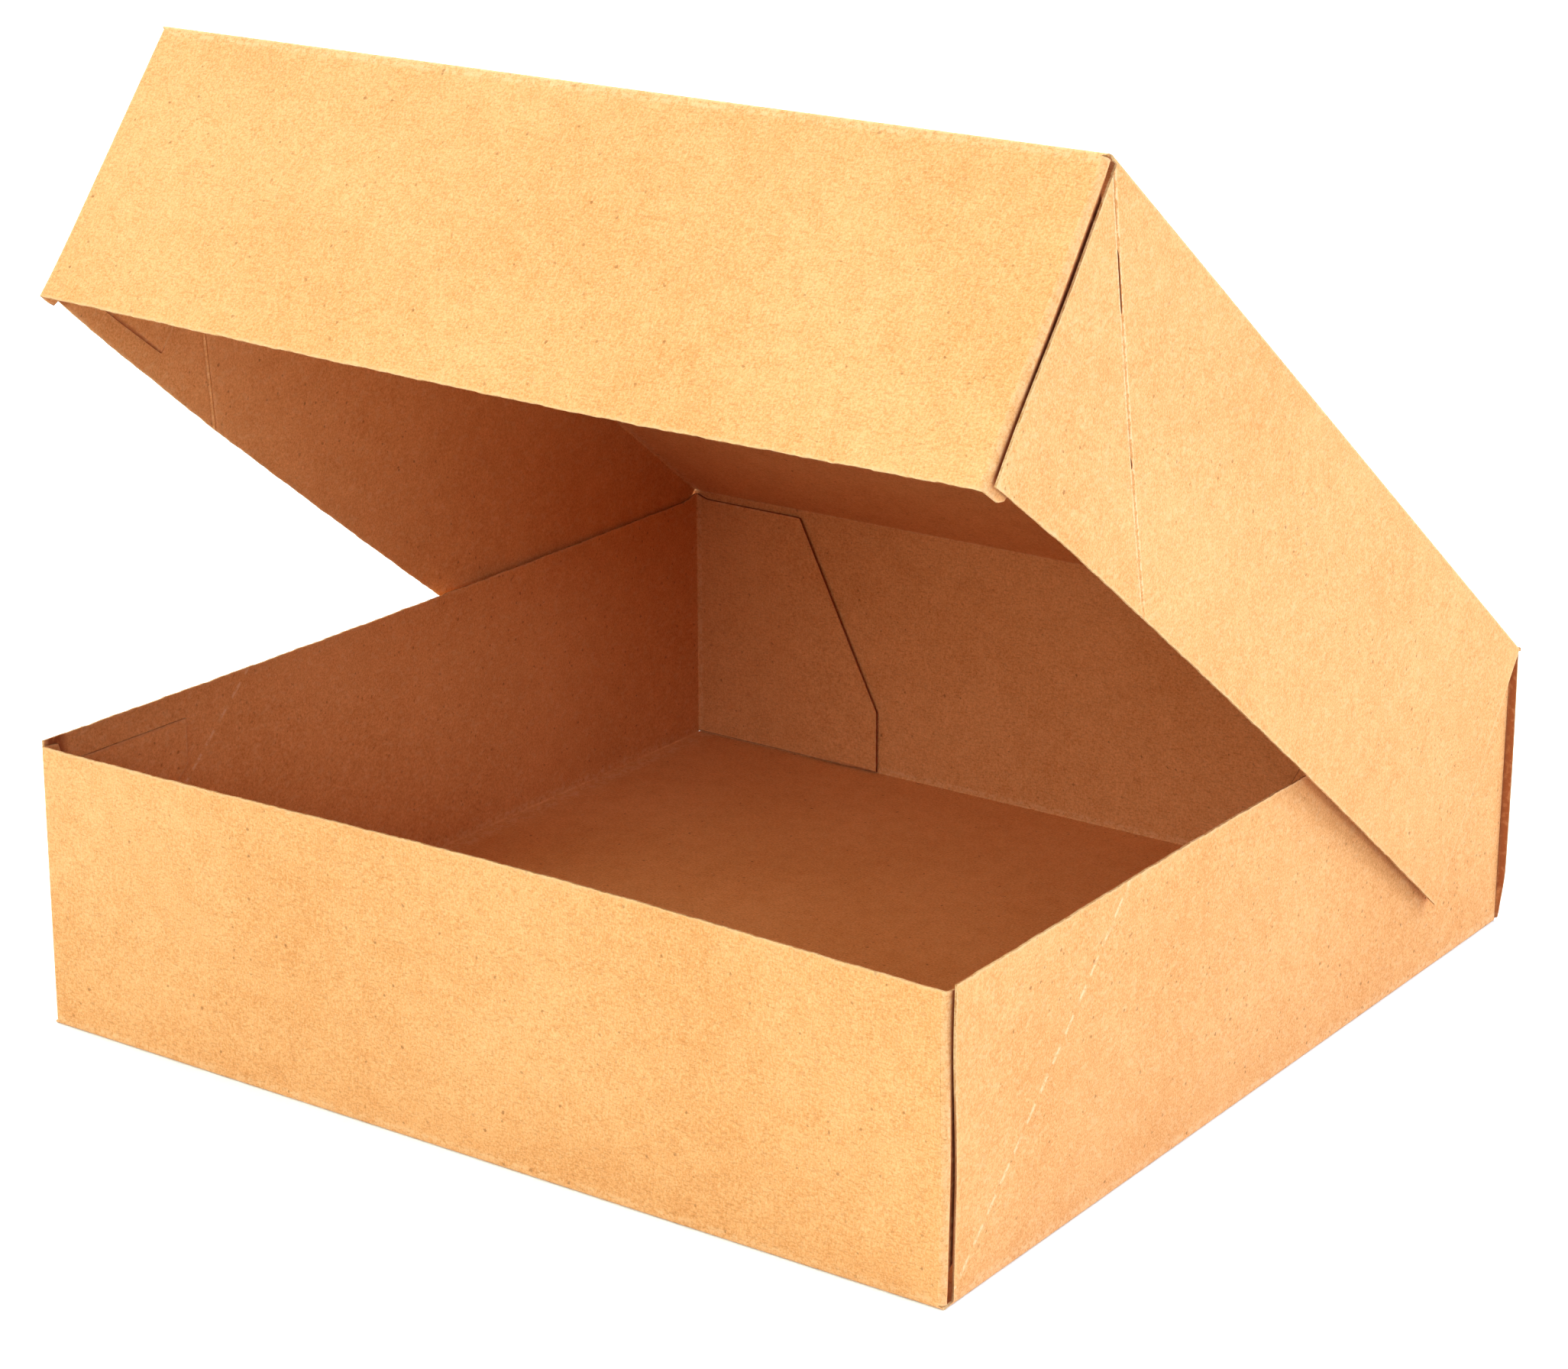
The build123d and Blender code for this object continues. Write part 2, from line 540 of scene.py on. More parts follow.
@dataclass(frozen=True)
class WrappedFront:
    """A front wall whose two ends turn in behind the side walls as glued flaps.

    Attributes:
        sizes: Sizes of the box.
        half: Half its width, over the side walls' outer faces.
        face: Y of its outer face.
        height: Distance from its fold to its free edge.
        flap_length: How far the flaps reach back from the face.
        left: How its left end turns in.
        right: How its right end turns in.
    """

    sizes: BoxSizes
    half: float
    face: float
    height: float
    flap_length: float
    left: FrontCorner
    right: FrontCorner

    def corner(self, side: Side) -> FrontCorner:
        """How the end on one side turns in."""
        return self.right if side is Side.RIGHT else self.left

    def proud(self, across: np.ndarray) -> np.ndarray:
        """How much nearer the fold the free edge lies, blended between the two ends."""
        return np.interp(across, [-self.half, self.half], [self.left.proud, self.right.proud])

    def wall(self, section: Section, from_fold: np.ndarray, stations: int, free: Sides) -> Shell:
        """The front wall between its two bends, reaching further out right at the fold.

        Args:
            section: The wall and its bend, from the side.
            from_fold: Distance of each of the section's points from the fold.
            stations: How many points across.
            free: Which sides are cut edges.

        Returns:
            The sheet.
        """
        toe = 1.1 * fade(from_fold, 0.95, 0.35)
        left, right = (
            self.half
            - self.sizes.board
            - corner.slot
            - corner.bend
            + corner.spread_at(from_fold / self.height)
            + toe
            for corner in (self.left, self.right)
        )
        across = np.linspace(0, 1, stations)
        return swept_shell(section, Sweep.ALONG_WIDTH, -left, right, across, free)

    def flap_section(self, corner: FrontCorner) -> tuple[Section, np.ndarray, np.ndarray]:
        """Right flap from above, and how its slanting side keeps off the diagonal line.

        Args:
            corner: How the wall turns in there.

        Returns:
            The section, each point's depth behind the face, and the distance from the fold
            at which the flap starts there: it grows at 45 degrees past the corner.
        """
        s = self.sizes
        glued = self.half - s.board
        folded = glued - corner.slot
        section = folded_section(
            [
                (folded - corner.bend, self.face),
                (folded, self.face),
                (glued, self.face + s.glue_start),
                (glued, self.face + self.flap_length),
            ],
            (corner.bend, s.gentle_bend),
            s.board,
            (1.0, 0.8, 1.6),
        )
        depth = section.outside[:, 1] - self.face
        turned, length = corner.bend + 1.2, self.flap_length
        slant = np.interp(
            depth,
            [0, corner.bend, turned, length],
            [0.95, 1.0, turned + s.diagonal_margin, length + s.diagonal_margin],
        )
        return section, depth, slant

    def flap(
        self,
        section: Section,
        corner: FrontCorner,
        lower: np.ndarray,
        upper: np.ndarray,
        from_fold: Warp,
    ) -> tuple[Shell, np.ndarray, np.ndarray]:
        """Flap between its lower and upper sides, opened near the fold by the spread.

        Args:
            section: The flap from above.
            corner: How the wall turns in there.
            lower: Height of the flap's lower side, for each point of the section.
            upper: Height of its upper side.
            from_fold: Gives the distance from the fold at a height.

        Returns:
            The sheet, its rim of painted shade and the painted shade in the open slot, 0 to 1.
        """
        shell = swept_shell(
            section, Sweep.UPWARD, lower, upper, edged(33, self.height), (False, True, True, True)
        )
        behind = shell.outside[..., 1] - self.face
        out = corner.spread_at(from_fold(shell.outside[..., 2]) / self.height)
        shell.move(0, out * fade(behind, 3.1, 0.9))
        # painted shade along the rim past the ear, for the shadow line at the flap's edge
        rim = shell.rim() * fade(behind, corner.ear, corner.ear + 2)
        return shell, rim, slot_shade(behind, corner.bend + 0.1)


@dataclass
class Tray:
    """The tray: floor, four walls, and the flaps that hold its corners together."""

    sizes: BoxSizes
    rear_flap_lift: float = 0.35
    cut_unevenness: float = 0.11
    front_bow: Bow = Bow(3.4, 0.62, 0.42)
    right_bow: Bow = Bow(-1.0, 0.35, 0.35)
    left_lean: float = 0.3
    left_sag: float = 0.65
    hinge_pull: float = 1.1
    front: WrappedFront = field(init=False)
    shifts: CornerShifts = field(init=False)

    def __post_init__(self) -> None:
        """Sets how the corners turn in and the walls lean, from the photograph."""
        s = self.sizes
        self.front = WrappedFront(
            s,
            s.half,
            s.front,
            s.wall_height,
            s.tray_flap_length,
            FrontCorner(0.7, 0.1, 1.05, 1.05, 0.0, 4.6),
            FrontCorner(1.2, 0.8, 1.2, 1.4, 1.05, 4.6),
        )
        self.shifts = CornerShifts(
            (-s.half, s.front, 0.0),
            (s.half, s.back, s.wall_height),
            {
                (0, 0, 0): (-1.65, 0.0, 0.0),
                (0, 0, 1): (-1.15, -0.1, 0.3),
                (1, 0, 0): (-0.05, -0.9, 0.0),
                (1, 0, 1): (0.2, 0.1, 0.25),
                (0, 1, 0): (-0.5, 0.0, 0.0),
                (0, 1, 1): (-0.8, 0.0, 0.0),
                (1, 1, 0): (-0.5, 0.0, 0.0),
                (1, 1, 1): (-0.6, 0.0, 0.0),
            },
            1.2,
        )

    def floor_and_sides(self) -> Shell:
        """Floor and both side walls as one sheet, bent along each side.

        The section runs down the left wall, across the floor and up the right wall. Its ends
        stand at the corners' cut edges on the walls and at the bends' starts on the floor.
        The walls rise a little at their rear ends, where the lid's crease pulls them up.
        """
        s = self.sizes
        top, half = s.wall_height, s.half
        corners = [(-half, top), (-half, 0), (half, 0), (half, top)]
        section = folded_section(corners, (s.bend, s.bend), s.board, (2.4, 7.0, 2.4))
        wall = fade(section.outside[:, 1], 0.25, s.bend)
        share = section.outside[:, 1] / top
        on_left = section.outside[:, 0] < 0
        left, right = self.front.left.cut_back(share), self.front.right.cut_back(share)
        front = s.front + s.bend + (np.where(on_left, left, right) - s.bend) * wall
        rear = s.back - s.bend - s.board * wall
        free = (True, True, True, False)
        shell = swept_shell(section, Sweep.ALONG_DEPTH, front, rear, np.linspace(0, 1, 261), free)
        depth, height = shell.outside[..., 1] - s.front, shell.outside[..., 2]
        on_wall = height > s.bend
        diagonal = np.stack([depth + height, depth - height], -1) / math.sqrt(2)
        shell.score = np.where(on_wall[..., None], diagonal, FAR_FROM_A_LINE)
        # painted shade on the side walls' inside near the front, in the slot behind the turned
        # flap
        shell.glue = (0.0, slot_shade(depth, 1.5) * on_wall)
        at_rear = fade(shell.outside[..., 1], s.back - 6, s.back - 1)
        shell.move(2, self.hinge_pull * at_rear * (height / top) ** 8)
        return shell

    def front_wall(self) -> Shell:
        """Front wall with the bend along its foot, a little lower than the side walls.

        Heights are multiplied by 1 - proud / wall height.
        """
        s = self.sizes
        corners = [(s.front, s.wall_height), (s.front, 0), (s.front + s.bend, 0)]
        section = folded_section(corners, (s.bend,), s.board, (2.0, 2.0))
        free = (True, False, False, False)
        shell = self.front.wall(section, section.outside[:, 1], 241, free)
        for face in (shell.outside, shell.inside):
            face[..., 2] *= 1 - self.front.proud(face[..., 0]) / s.wall_height
        return shell

    def back_wall(self) -> Shell:
        """Back wall with the bend along its foot, widening to the lid's width above it."""
        s = self.sizes
        corners = [(s.back - s.bend, 0), (s.back, 0), (s.back, s.wall_top)]
        section = folded_section(corners, (s.bend,), s.board, (2.0, 2.0))
        height = section.outside[:, 1]
        foot, step = s.half - 0.4, 0.9
        reach = foot + step * fade(height, 0.5, 1.1)
        reach = reach + (s.lid_half - foot - step) * fade(height, 1, 13)
        reach = reach + 0.3 * np.sin(np.pi * np.clip(height / s.hinge_height, 0, 1))
        beyond = 0.5 - 0.5 * np.array([s.half - 0.3, s.half + 0.1]) / s.lid_half
        stations = np.unique(np.concatenate([np.linspace(0, 1, 81), beyond, 1 - beyond]))
        free = (False, False, True, True)
        shell = swept_shell(section, Sweep.ALONG_WIDTH, -reach, reach, stations, free)
        # painted shade on the back wall's inside where it shows past the side wall, for the
        # shadowed gap there
        shell.glue = (0.0, 0.9 * fade(np.abs(shell.outside[..., 0]), s.half - 0.3, s.half))
        return shell

    def front_flap(self, side: Side) -> Shell:
        """End of the front wall, turned back along the side wall.

        Its upper side runs level past the corner, then drops well below the wall's top edge.

        Args:
            side: Which end.

        Returns:
            The flap, with painted shade in the open slot on the face towards the side wall, and
            along its rim.
        """
        s, corner = self.sizes, self.front.corner(side)
        section, depth, lower = self.front.flap_section(corner)
        top, step, ear = s.wall_height - corner.proud, s.wall_height - s.flap_inset, corner.ear
        upper = np.interp(
            depth,
            [0, corner.bend, ear, ear + 1.8, s.tray_flap_length],
            [top, top, top - 0.4, step, step],
        )
        shell, rim, slot = self.front.flap(section, corner, lower, upper, lambda z: z)
        # painted shade in the slot and a little along the rim, for their shadow
        shell.glue = (np.maximum(slot, 0.25 * rim), 0.25 * rim)
        return shell if side is Side.RIGHT else shell.mirrored()

    def rear_flap(self) -> Shell:
        """Right wall's rear end, turned in along the back wall.

        Its far side slants from the wall's top edge down to the knee, and is lifted off the
        back wall there, where it isn't glued down. Painted shade runs along its rim.
        """
        s = self.sizes
        plane, top, length = s.back - s.board, s.wall_height, s.rear_flap_length
        corners = [(s.half, plane - s.bend), (s.half, plane), (s.half - length, plane)]
        section = folded_section(corners, (s.bend,), s.board, (1.0, 1.4))
        inset = s.half - section.outside[:, 0]
        upper = np.interp(inset, [0, s.rear_flap_top, length], [top, top, s.rear_flap_knee])
        lower = np.interp(inset, [0, s.bend, length], [0.8, s.bend, s.bend])
        free = (False, True, True, True)
        shell = swept_shell(section, Sweep.UPWARD, lower, upper, edged(41, top), free)
        # painted shade along the rim, for the shadow line at the flap's edge on the back wall
        shell.glue = (shell.rim(),) * 2
        inset = s.half - shell.outside[..., 0]
        into, high = inset / length, shell.outside[..., 2] / top
        lift = self.rear_flap_lift * fade(into, 0.35, 0.85) + 0.25 * high**2 * fade(into, 0, 0.5)
        shell.move(1, -lift)
        shell.move(2, self.hinge_pull * fade(inset, 4, 0) * high**8)
        return shell

    def settle(self, points: np.ndarray) -> np.ndarray:
        """Moves the points to where the used box stands.

        The corners' leans are blended by CornerShifts. Each free edge bows between its
        corners: a hump along the wall times the height share to the power 1.6. Cut edges get
        the ragged line, times the height share to the power 14.
        """
        s = self.sizes
        moved = points + self.shifts.at(points)
        x, y, z = points.T
        share = np.clip(z / s.wall_height, 0, 1.1)
        high = share**1.6
        across = (x + s.half) / s.tray_width
        along = np.clip((y - s.front) / s.tray_depth, 0, 1)
        at_front, at_rear = fade(y, s.front + 9, s.front + 3), fade(y, s.back - 4, s.back - 1)
        left, right = (fade(sign * x, s.half - 5, s.half - 2) * high for sign in (-1, 1))
        moved[:, 1] += self.front_bow.at(across) * arch(across, 0.8) * high * at_front
        moved[:, 0] += self.right_bow.at(along) * arch(along, 0.9) * right
        moved[:, 0] += self.left_lean * arch(along, 0.9) * left
        moved[:, 2] -= self.left_sag * arch(along, 0.9) * left
        cut = np.where(at_front > 0.5, ragged(x, 1.7), ragged(y, np.where(x < 0, 0.4, 2.9)))
        moved[:, 2] += self.cut_unevenness * cut * share**14 * (1 - at_rear)
        return moved

    def build(self, finishes: Finishes) -> None:
        """Makes the tray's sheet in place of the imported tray, with the given finishes."""
        flaps = [self.front_flap(side) for side in Side]
        rear = self.rear_flap()
        shells = [self.floor_and_sides(), self.front_wall(), self.back_wall(), *flaps]
        piece = BoardPiece("tray_board", [*shells, rear, rear.mirrored()])
        made = piece.build(self.settle, finishes)
        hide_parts("tray")
        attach(made, "tray")


@dataclass
class Lid:
    """The lid: top, front wall, side walls with their diagonal lines, and glued flaps."""

    sizes: BoxSizes
    corner_curl: float = 1.1
    corner_flare: float = 0.6
    curl_reach: tuple[float, float] = (80.0, 24.0)
    cut_unevenness: float = 0.10
    ridge_height: float = 0.12
    front_bow: Bow = Bow(0.3, 0.68, 0.32)
    front_sag: Bow = Bow(0.65, 0.68, 0.32)
    left_bow: Bow = Bow(-2.0, 0.55, 0.4)
    right_lean: float = 1.6
    front: WrappedFront = field(init=False)
    shifts: CornerShifts = field(init=False)

    SLITS = {
        Side.LEFT: ((3.0, 15.0, 0.05), (18.0, 30.0, 0.12), (46.0, 58.0, 0.12)),
        Side.RIGHT: (
            (3.0, 14.5, 0.10),
            (18.0, 30.4, 0.45),
            (51.5, 57.0, 0.10),
            (58.3, 60.8, 0.42),
        ),
    }
    SIDE_LIFT = {
        Side.LEFT: ((0, 1.7), (62, 0.0), (236, 0.0)),
        Side.RIGHT: ((0, 0.2), (30, 1.0), (150, 0.9), (236, 0.3)),
    }
    COLUMNS_BY_THE_LINE = (0, 0.12, 0.25, 0.4, 0.55, 0.75, 1.0, 1.3, 1.7, 2.3)

    def __post_init__(self) -> None:
        """Sets how the corners turn in and the lid has twisted, from the photograph."""
        s = self.sizes
        self.front = WrappedFront(
            s,
            s.lid_half,
            s.lid_front,
            s.lid_drop,
            s.lid_flap_length,
            FrontCorner(0.7, 0.1, 1.1, -0.35, 0.0, 3.2),
            FrontCorner(1.3, 0.9, 1.35, -1.3, 0.7, 5.2),
        )
        self.shifts = CornerShifts(
            (-s.lid_half, s.lid_front, s.lid_low),
            (s.lid_half, s.lid_rear, s.lid_top),
            {
                (0, 0, 1): (-0.25, 0.4, 2.1),
                (1, 0, 1): (-0.4, 0.1, 0.4),
                (0, 0, 0): (-1.15, -0.35, 1.45),
                (1, 0, 0): (0.5, -0.3, -0.9),
                (1, 1, 0): (0.5, 0.0, 1.0),
                (0, 1, 0): (0.0, 0.0, -0.3),
                (0, 1, 1): (-0.2, 0.0, 0.0),
            },
        )

    def top(self) -> Shell:
        """Top panel with the bend along each side."""
        s = self.sizes
        half, top = s.lid_half, s.lid_top
        corners = [(half, top - s.bend), (half, top), (-half, top), (-half, top - s.bend)]
        section = folded_section(corners, (s.bend, s.bend), s.board, (1.0, 3.0, 1.0))
        side = fade(section.outside[:, 1], top, top - 0.7 * s.bend)
        front = s.lid_front + s.bend + 0.35 * side
        stations = np.linspace(0, 1, 73)
        return swept_shell(section, Sweep.ALONG_DEPTH, front, s.lid_rear, stations, (False,) * 4)

    def front_wall(self) -> Shell:
        """Front wall with the bend along its top, hanging a little below the side walls.

        Depths below the top are multiplied by 1 - proud / lid drop.
        """
        s = self.sizes
        corners = [(s.lid_front + s.bend, s.lid_top), (s.lid_front, s.lid_top)]
        corners += [(s.lid_front, s.lid_low)]
        section = folded_section(corners, (s.bend,), s.board, (2.0, 2.0))
        free = (False, True, False, False)
        shell = self.front.wall(section, s.lid_top - section.outside[:, 1], 201, free)
        for face in (shell.outside, shell.inside):
            depth = s.lid_top - face[..., 2]
            face[..., 2] += depth * self.front.proud(face[..., 0]) / s.lid_drop
        return shell

    def front_flap(self, side: Side) -> Shell:
        """End of the front wall, turned back inside the side wall.

        Its lower side runs on from the front wall's free edge as an ear, then steps up.

        Args:
            side: Which end.

        Returns:
            The flap, with painted shade in the open slot on the face towards the side wall, and
            along its lower edge.
        """
        s, corner = self.sizes, self.front.corner(side)
        section, depth, slant = self.front.flap_section(corner)
        low, ear = s.lid_low, corner.ear
        free, step = low + corner.proud, low + s.flap_inset
        lower = np.interp(
            depth,
            [0, ear, ear + 2.0, ear + 2.6, s.lid_flap_length],
            [free, free, low, step, step],
        )
        shell, rim, slot = self.front.flap(
            section, corner, lower, s.lid_top - slant, lambda z: s.lid_top - z
        )
        height = shell.outside[..., 2]
        # painted shade along the flap's lower edge, for the shadow line under it, and in the open
        # slot
        rim = rim * fade(height, step + 2.5, step + 0.5)
        slot = slot * fade(height, low + 0.6, low + 1.6)
        shell.glue = (np.maximum(slot, rim), rim)
        return shell if side is Side.RIGHT else shell.mirrored()

    def side_panel(
        self, side: Side, rows: np.ndarray, ends: Sequence[np.ndarray], columns: np.ndarray
    ) -> Shell:
        """Part of a side wall between two lines that may slant, free along its foot.

        Point (i, j) lies row_i below the top and start_i + (stop_i - start_i) * column_j
        behind the front. The diagonal line runs from the front top corner at 45 degrees.

        Args:
            side: Which side of the lid.
            rows: Distance of each row below the top.
            ends: Where each row starts, and where each stops.
            columns: Places between start and stop, from 0 to 1.

        Returns:
            The closed sheet.
        """
        s, (start, stop) = self.sizes, ends
        offset = start[:, None] + (stop - start)[:, None] * columns[None, :]
        drop = np.broadcast_to(rows[:, None], offset.shape)
        across = np.full(offset.shape, side.value * s.lid_half)
        outside = np.stack([across, s.lid_front + offset, s.lid_top - drop], -1)
        inside = outside - np.array([side.value * s.board, 0.0, 0.0])
        score = np.stack([offset + drop, offset - drop], -1) / math.sqrt(2)
        blank, flat = np.stack([offset, drop], -1), np.zeros(offset.shape)
        return Shell(outside, inside, blank, flat, (False, True, False, False), score)

    def side_wall(self, side: Side) -> list[Shell]:
        """Side wall as two sheets that meet along the diagonal line.

        The sheets stand apart by half a slit's width each where the board is cut through.
        Their columns crowd towards the line, for sheets about 62 and 200 mm wide.
        Beside the line the board rises in a ridge on each face: a bell curve of the distance
        from the line, less a sharper one on the line itself. The free edge is cut slanting:
        depths below the top are multiplied by 1 - lift / lid drop.

        Args:
            side: Which side of the lid.

        Returns:
            The corner sheet in front of the line and the long sheet behind it.
        """
        s, slits = self.sizes, self.SLITS[side]
        ends = [x / math.sqrt(2) for start, stop, _ in slits for x in (start, stop)]
        near = [x + d for x in ends for d in (-0.25, 0.0, 0.25, 0.8)]
        rows = spaced(s.bend, s.lid_drop, 1.3, near)
        along = rows * math.sqrt(2)
        opening = np.zeros(len(rows))
        for start, stop, width in slits:
            shape = fade(along, start, start + 0.7) * fade(along, stop, stop - 0.7)
            opening = np.maximum(opening, width * shape)
        half_gap = opening / 2 * math.sqrt(2)
        close, widths = np.array(self.COLUMNS_BY_THE_LINE), (62.0, 200.0)
        even = (np.linspace(0, 0.95, 30), np.linspace(0.02, 1, 116))
        corner_columns = np.unique(np.concatenate([1 - close / widths[0], even[0]]))
        long_columns = np.unique(np.concatenate([close / widths[1], even[1]]))
        raw = self.front.corner(side).cut_back(rows / s.lid_drop)
        before, behind = (np.maximum(rows + gap, raw + 0.05) for gap in (-half_gap, half_gap))
        rear = np.full(len(rows), s.lid_rear - s.lid_front)
        corner = self.side_panel(side, rows, (raw, before), corner_columns)
        long = self.side_panel(side, rows, (behind, rear), long_columns)
        corner.free, long.free = (False, True, True, False), (False, True, False, True)
        lifts = np.array(self.SIDE_LIFT[side], float)
        for shell in (corner, long):
            length, off = shell.score[..., 0], shell.score[..., 1]
            ridge = hump(np.abs(off), 0.55, 0.32) - 0.9 * hump(off, 0, 0.28)
            shell.move(0, self.ridge_height * ridge * fade(length, 1, 4) * side.value)
            depth = shell.outside[..., 1] - s.lid_front
            lift = np.interp(depth, lifts[:, 0], lifts[:, 1]) / s.lid_drop
            shell.move(2, (s.lid_top - shell.outside[..., 2]) * lift)
            # painted shade on the slits' rims, for the shadowed cracks, and in the slot behind the
            # front corner
            cut_through = fade(opening, 0.06, 0.26)[:, None]
            slit_shade = hump(np.abs(off), opening[:, None] / 2, 0.05) * cut_through
            shell.glue = (slit_shade, np.maximum(slot_shade(depth, raw[:, None] + 0.2), slit_shade))
        return [corner, long]

    def settle(self, points: np.ndarray) -> np.ndarray:
        """Moves the shut lid's points to where the used lid has settled, then raises it.

        The corners' shifts are blended by CornerShifts. The free edges bow between their
        corners by a hump along the wall times the drop share to the power 1.6. The left
        front corner curls up, less and less away from it. Cut edges get the ragged line,
        times the drop share to the power 14. Raising turns the points about the crease by
        the lid's angle.
        """
        s = self.sizes
        moved = points + self.shifts.at(points)
        x, y, z = points.T
        share = np.clip((s.lid_top - z) / s.lid_drop, 0, 1.1)
        drop = share**1.6
        across = (x + s.lid_half) / (2 * s.lid_half)
        along = np.clip((y - s.lid_front) / (s.lid_rear - s.lid_front), 0, 1)
        at_front = fade(y, s.lid_front + 9, s.lid_front + 3)
        left, right = (fade(sign * x, s.lid_half - 5, s.lid_half - 2) * drop for sign in (-1, 1))
        in_front = arch(across, 0.8) * drop * at_front
        moved[:, 1] += self.front_bow.at(across) * in_front
        moved[:, 2] -= self.front_sag.at(across) * in_front
        moved[:, 0] += self.right_lean * arch(along, 0.9) * right
        moved[:, 0] += self.left_bow.at(along) * arch(along, 0.9) * left
        reach_x, reach_y = self.curl_reach
        near = np.clip(1 - (x + s.lid_half) / reach_x, 0, 1)
        curl = (near * np.clip(1 - (y - s.lid_front) / reach_y, 0, 1)) ** 1.4
        moved[:, 2] += self.corner_curl * curl * drop
        moved[:, 0] -= self.corner_flare * curl * share**10
        cut = np.where(at_front > 0.5, ragged(x, 0.9), ragged(y, np.where(x < 0, 2.2, 1.3)))
        moved[:, 2] += self.cut_unevenness * cut * share**14
        return self.raised(moved)

    def raised(self, points: np.ndarray) -> np.ndarray:
        """Points of the shut lid turned back about the crease to the angle it stands at."""
        s = self.sizes
        angle = math.radians(s.lid_angle)
        back, up = points[:, 1] - s.hinge_y, points[:, 2] - s.hinge_height
        turned = points.copy()
        turned[:, 1] = s.hinge_y + back * math.cos(angle) + up * math.sin(angle)
        turned[:, 2] = s.hinge_height - back * math.sin(angle) + up * math.cos(angle)
        return turned

    def build(self, finishes: Finishes) -> None:
        """Makes the lid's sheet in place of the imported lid, with the given finishes."""
        shells = [self.top(), self.front_wall()]
        for side in Side:
            shells += [self.front_flap(side), *self.side_wall(side)]
        made = BoardPiece("lid_board", shells).build(self.settle, finishes)
        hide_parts("lid")
        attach(made, "lid")


@dataclass
class LidCrease:
    """The strip of bent board between the back wall and the lid."""

    sizes: BoxSizes
    lid: Lid

    def strip(self) -> Shell:
        """Bent strip from the back wall's top edge to the lid's rear edge.

        Each face is a curve b^2 * start + 2 * b * t * middle + t^2 * end, with b = 1 - t,
        whose middle point lies where the two flat faces would meet.
        """
        s = self.sizes
        lines = []
        for face in (1, -1):
            start = np.array([s.hinge_y + face * s.board / 2, s.wall_top])
            shut = np.array([[0.0, s.lid_rear, s.hinge_height + face * s.board / 2]])
            end = self.lid.raised(shut)[0, 1:]
            heading = self.lid.raised(shut - np.array([[0.0, 1.0, 0.0]]))[0, 1:] - end
            back = (end[0] - start[0]) / -heading[0]
            middle = np.array([start[0], end[1] + heading[1] * back])
            t = np.linspace(0, 1, 7)[:, None]
            lines.append((1 - t) ** 2 * start + 2 * (1 - t) * t * middle + t**2 * end)
        section = Section(lines[0], lines[1], np.linspace(0, 1.2, 7), np.ones(7))
        free, stations = (False, False, True, True), np.linspace(0, 1, 61)
        return swept_shell(section, Sweep.ALONG_WIDTH, -s.lid_half, s.lid_half, stations, free)

    def build(self, finishes: Finishes) -> None:
        """Makes the crease strip, already bent to the lid's raised angle, between the tray and the
        lid.
        """
        s = self.sizes
        piece = BoardPiece("lid_crease", [self.strip()])
        made = piece.build(lambda points: points, finishes)
        rear = self.lid.raised(np.array([[0.0, s.lid_rear, s.hinge_height]]))[0] * MM
        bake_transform(made)


